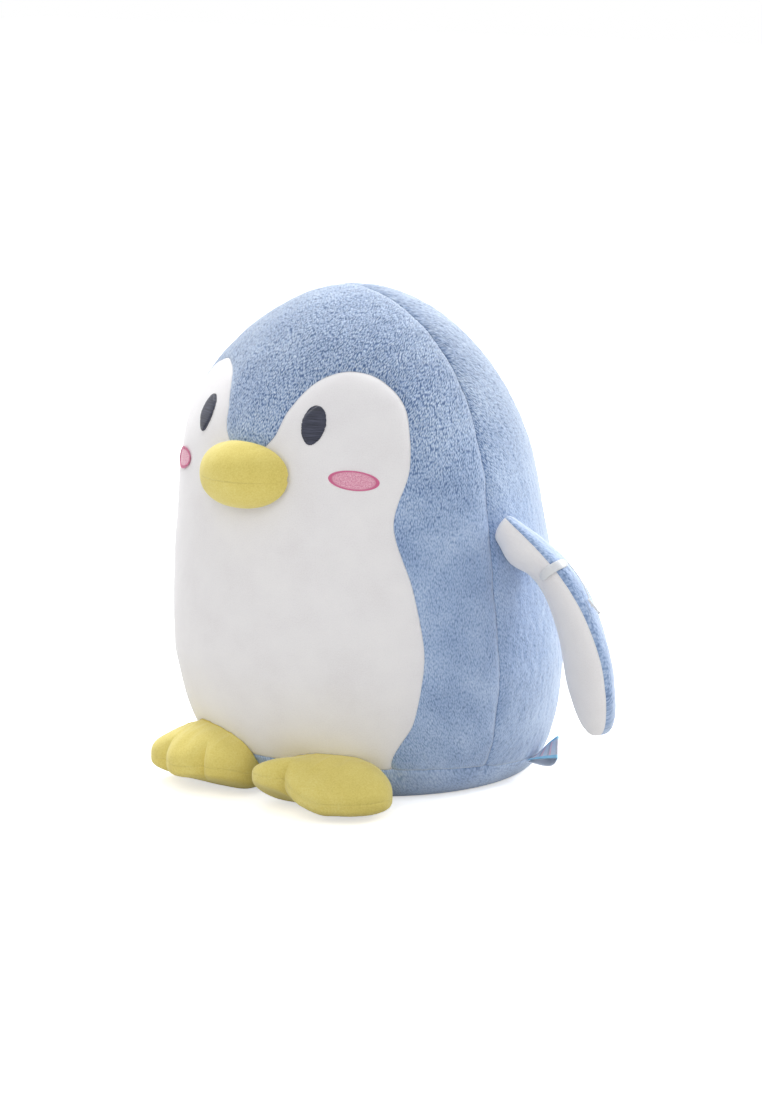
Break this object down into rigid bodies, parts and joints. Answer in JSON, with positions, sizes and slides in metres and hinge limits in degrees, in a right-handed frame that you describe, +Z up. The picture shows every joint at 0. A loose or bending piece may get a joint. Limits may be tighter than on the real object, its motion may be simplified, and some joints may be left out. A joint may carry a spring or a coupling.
{
  "type": "plush penguin",
  "caption": "Stuffed sitting penguin of short-pile fabric: round body with a flat base, beak, hinged flippers, hinged feet and a sewn-in label.",
  "frame": {"origin": "centre of the body's flat underside", "axes": "+Z up, -Y out of the face, +X to the penguin's own left"},
  "size_m": [0.2994, 0.2159, 0.25],
  "materials": {
    "blue_plush": "short-pile minky fabric, soft blue",
    "white_plush": "very short smooth pile fabric, warm white",
    "yellow_plush": "very short smooth pile fabric, soft yellow",
    "navy_thread": "satin-stitch embroidery, dark navy",
    "pink_thread": "satin-stitch embroidery, pink",
    "blue_thread": "sewing thread",
    "fibre_filling": "polyester fibre filling",
    "woven_tape": "woven satin label tape",
    "clear_nylon": "translucent nylon"
  },
  "bodies": {
    "torso": {"front_hood": "blue_plush", "face_belly_panel": "white_plush", "back_panel_left": "blue_plush", "back_panel_right": "blue_plush", "base_panel": "blue_plush", "body_filling": "fibre_filling", "eye_left": "navy_thread", "eye_right": "navy_thread", "blush_left": "pink_thread", "blush_right": "pink_thread", "closing_stitch": "blue_thread", "beak_upper_cover": "yellow_plush", "beak_lower_cover": "yellow_plush", "beak_filling": "fibre_filling"},
    "flipper_left": {"flipper_left_outer": "blue_plush", "flipper_left_inner": "white_plush", "flipper_left_filling": "fibre_filling", "tag_fastener": "clear_nylon"},
    "flipper_right": {"flipper_right_outer": "blue_plush", "flipper_right_inner": "white_plush", "flipper_right_filling": "fibre_filling"},
    "foot_left": {"foot_left_upper": "yellow_plush", "foot_left_sole": "yellow_plush", "foot_left_filling": "fibre_filling"},
    "foot_right": {"foot_right_upper": "yellow_plush", "foot_right_sole": "yellow_plush", "foot_right_filling": "fibre_filling"},
    "label": {"woven_label": "woven_tape"}
  },
  "joints": [
    {"name": "flipper_left_flap", "type": "hinge", "parent": "torso", "child": "flipper_left", "pos_m": [0.09843, -0.0197, 0.13775], "axis": [-0.0758, -0.9333, 0.3511], "range_deg": [-2, 85]},
    {"name": "flipper_right_flap", "type": "hinge", "parent": "torso", "child": "flipper_right", "pos_m": [-0.09752, -0.00082, 0.13775], "axis": [0.0977, 0.9312, -0.3511], "range_deg": [0, 100]},
    {"name": "foot_left_fold", "type": "hinge", "parent": "torso", "child": "foot_left", "pos_m": [0.04, -0.0881, 0.026], "axis": [-0.9033, -0.4289, 0], "range_deg": [0, 32]},
    {"name": "foot_right_fold", "type": "hinge", "parent": "torso", "child": "foot_right", "pos_m": [-0.0315, -0.09163, 0.026], "axis": [-0.9415, 0.3371, 0], "range_deg": [0, 32]},
    {"name": "label_flip", "type": "hinge", "parent": "torso", "child": "label", "pos_m": [0.08685, 0.0178, 0.01102], "axis": [0.2164, -0.9763, 0], "range_deg": [-50, 22]}
  ]
}
